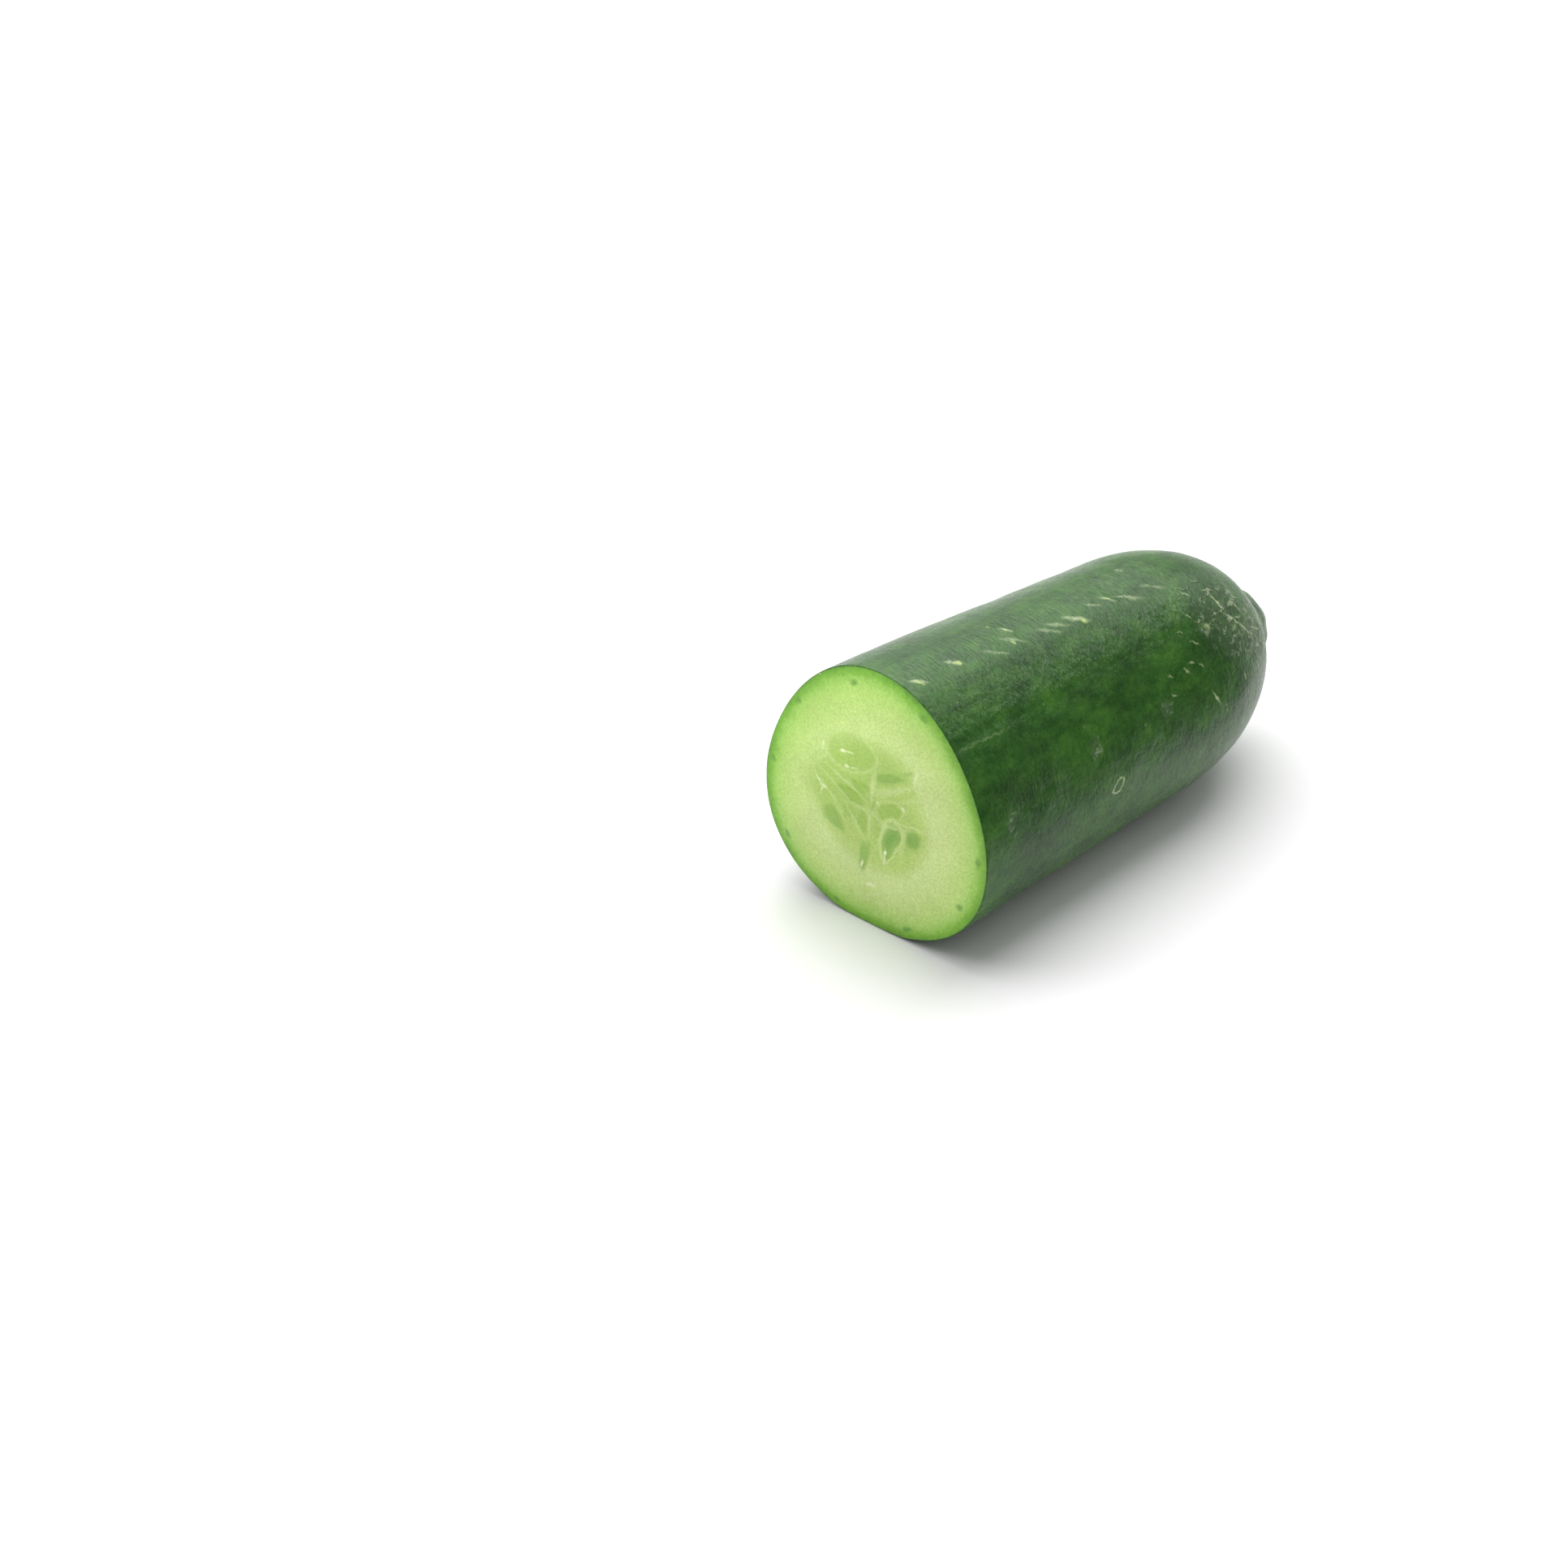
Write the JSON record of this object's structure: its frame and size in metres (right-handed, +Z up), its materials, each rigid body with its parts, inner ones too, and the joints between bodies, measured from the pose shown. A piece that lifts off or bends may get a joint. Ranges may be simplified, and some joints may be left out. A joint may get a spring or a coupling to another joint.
{
  "type": "cut cucumber",
  "caption": "Rounded end of a slicing cucumber lying on its side, cut square across to show pale flesh and seeds.",
  "frame": {"origin": "middle of the underside of the bounding box, on the surface that the cucumber rests on", "axes": "+Y runs along the cucumber from the cut face to the rounded end, +Z is up, +X is to the right seen from the cut face"},
  "size_m": [0.0578, 0.1274, 0.0544],
  "materials": {
    "cucumber_skin": "dark green waxy skin with a soft sheen, and moist pale green flesh on the cut"
  },
  "bodies": {
    "root": {"cucumber": "cucumber_skin"}
  },
  "joints": []
}
